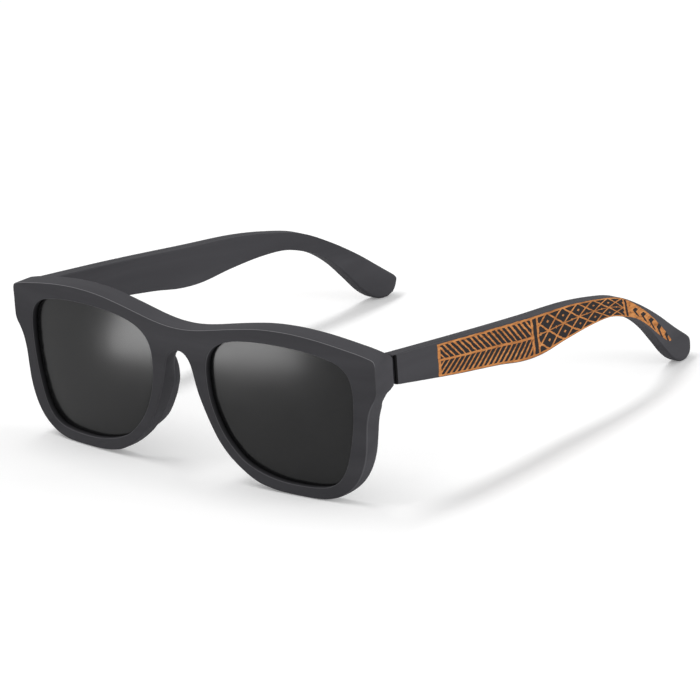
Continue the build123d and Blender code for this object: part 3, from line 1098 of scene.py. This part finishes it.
# the lens card stands low at the front and only shows in the lenses
lamps = {
    "key": {"place": (-0.44, -0.20, 1.25), "aim": (0.02, -0.15, 0), "size": (1.3, 0.26), "watts": 8},
    "sideFill": {"place": (1.3, 0.35, 0.35), "aim": (0, 0, 0.02), "size": (0.9, 0.5), "watts": 9},
    "lensCard": {"place": (-0.070, -0.174, 0.004), "aim": (0.006, -0.079, 0.010), "size": (0.102, 0.060),
                 "watts": 0.135, "shape": "ELLIPSE", "mirrorOnly": True},
}


def addMaximum(nodes, links, first, second):
    node = nodes.new("ShaderNodeMath")
    node.operation = "MAXIMUM"
    links.new(first, node.inputs[0])
    links.new(second, node.inputs[1])
    return node.outputs[0]


def seenShare(nodes, links):
    # 1 for what the camera sees, also by way of a gloss or a glass
    path = nodes.new("ShaderNodeLightPath").outputs
    seen = addMaximum(nodes, links, path["Is Camera Ray"], path["Is Glossy Ray"])
    return addMaximum(nodes, links, seen, path["Is Transmission Ray"])


def makeFloor():
    recipe = Recipe("paleFloor")
    speck = recipe.noise(recipe.place(), stage["speckScale"], detail=2)
    low = tuple(c * stage["speckShade"] for c in stage["colour"])
    lift = recipe.math("MULTIPLY", seenShare(recipe.nodes, recipe.links), stage["lift"])
    tone = recipe.ramp(speck, list(zip(stage["speckStops"], (low, stage["colour"]))))
    recipe.give({"Base Color": tone, "Roughness": stage["rough"], "Specular IOR Level": 0.0,
                 "Emission Color": (1, 1, 1), "Emission Strength": lift})
    half = stage["halfSize"]
    corners = [(-half, -half, 0), (half, -half, 0), (half, half, 0), (-half, half, 0)]
    mesh = bpy.data.meshes.new("floor")
    mesh.from_pydata(corners, [], [(0, 1, 2, 3)])
    floor = bpy.data.objects.new("floor", mesh)
    floor.data.materials.append(recipe.material)
    bpy.context.scene.collection.objects.link(floor)


def makeWorld():
    # white where it is seen, and dimmer as a light
    world = bpy.data.worlds.new("paleRoom")
    bpy.context.scene.world = world
    world.use_nodes = True
    nodes, links = world.node_tree.nodes, world.node_tree.links
    nodes.clear()
    output = nodes.new("ShaderNodeOutputWorld")
    mixer = nodes.new("ShaderNodeMixShader")
    links.new(seenShare(nodes, links), mixer.inputs[0])
    for strength, socket in ((stage["room"], mixer.inputs[1]), (1.0, mixer.inputs[2])):
        light = nodes.new("ShaderNodeBackground")
        light.inputs["Color"].default_value = (1, 1, 1, 1)
        light.inputs["Strength"].default_value = strength
        links.new(light.outputs[0], socket)
    links.new(mixer.outputs[0], output.inputs["Surface"])


def makeLamps():
    for name, setting in lamps.items():
        data = bpy.data.lights.new(name, "AREA")
        data.shape = setting.get("shape", "RECTANGLE")
        data.size, data.size_y = setting["size"]
        data.energy = setting["watts"]
        lamp = bpy.data.objects.new(name, data)
        lamp.visible_diffuse = not setting.get("mirrorOnly")
        lamp.location = setting["place"]
        way = Vector(setting["aim"]) - Vector(setting["place"])
        lamp.rotation_euler = way.to_track_quat("-Z", "Y").to_euler()
        bpy.context.scene.collection.objects.link(lamp)


def makeCamera():
    az, el, roll = (math.radians(camera[k]) for k in ("azimuth", "height", "roll"))
    back = Vector((math.sin(az) * math.cos(el), -math.cos(az) * math.cos(el), math.sin(el)))
    right = Vector((0, 0, 1)).cross(back).normalized()
    up = back.cross(right)
    tiltRight = right * math.cos(roll) + up * math.sin(roll)
    tiltUp = up * math.cos(roll) - right * math.sin(roll)
    turn = Matrix((tiltRight, tiltUp, back)).transposed().to_4x4()
    data = bpy.data.cameras.new("photoView")
    data.sensor_width = camera["sensor"]
    data.lens = camera["focalPixels"] / camera["framePixels"] * camera["sensor"]
    data.clip_start = camera["nearest"]
    view = bpy.data.objects.new("photoView", data)
    place = Vector(camera["place"]) + Vector((0, frontFaceY * mm, 0))
    view.matrix_world = Matrix.Translation(place) @ turn
    bpy.context.scene.collection.objects.link(view)
    bpy.context.scene.camera = view


makeFloor()
makeWorld()
makeLamps()
makeCamera()
bpy.context.scene.view_settings.view_transform = "Standard"
print("stage set")
